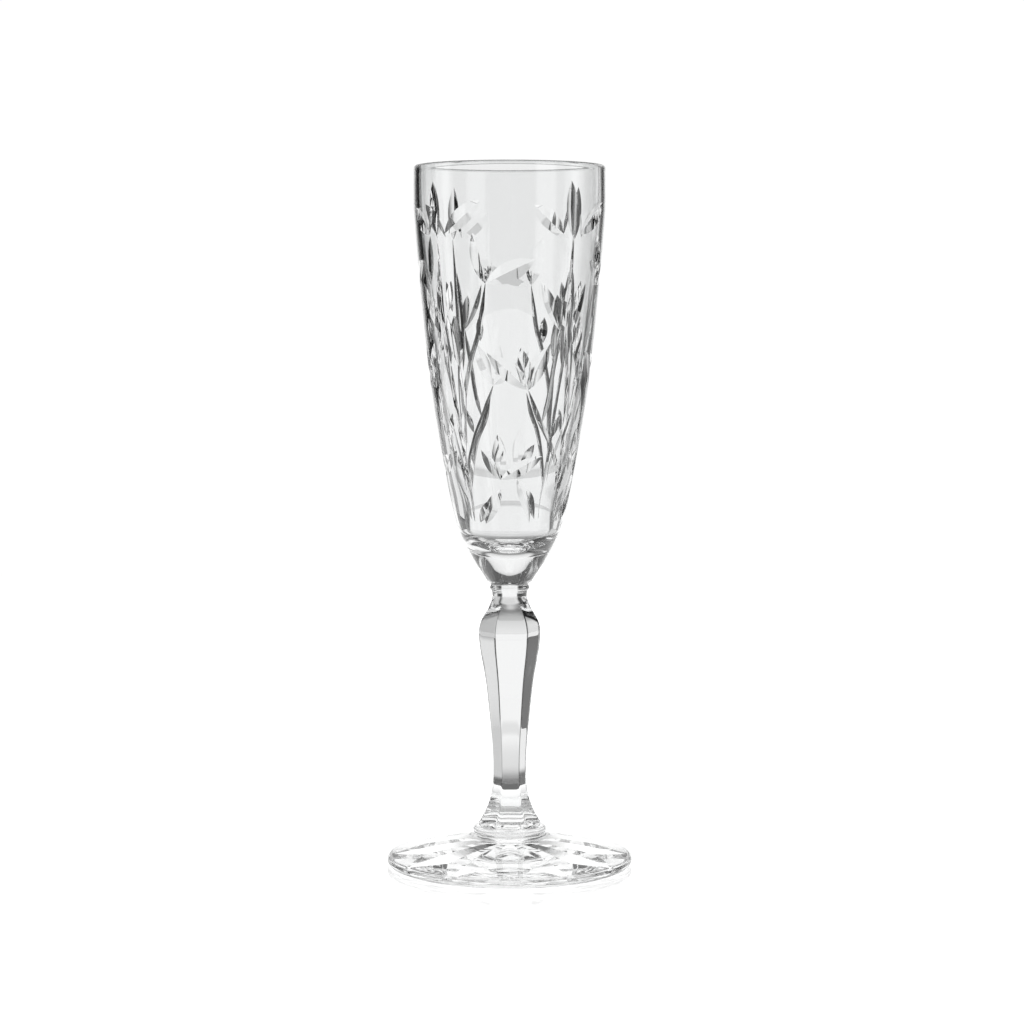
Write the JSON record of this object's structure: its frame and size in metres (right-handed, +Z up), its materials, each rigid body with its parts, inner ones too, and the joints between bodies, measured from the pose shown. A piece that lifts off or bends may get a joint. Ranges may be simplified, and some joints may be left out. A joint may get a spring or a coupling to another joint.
{
  "type": "champagne flute",
  "caption": "Tall clear cut-crystal flute: tapering bowl with leaf and vine wheel cuts, hexagonal knopped stem, round star-cut foot.",
  "frame": {"origin": "centre of the foot's resting plane", "axes": "+Z up the stem towards the rim, -Y faces the front of the cut pattern"},
  "size_m": [0.0728, 0.0728, 0.2062],
  "materials": {
    "bowl_glass": "polished",
    "stem_glass": "polished",
    "foot_glass": "polished"
  },
  "bodies": {
    "root": {"bowl": "bowl_glass", "stem": "stem_glass", "foot": "foot_glass"}
  },
  "joints": []
}
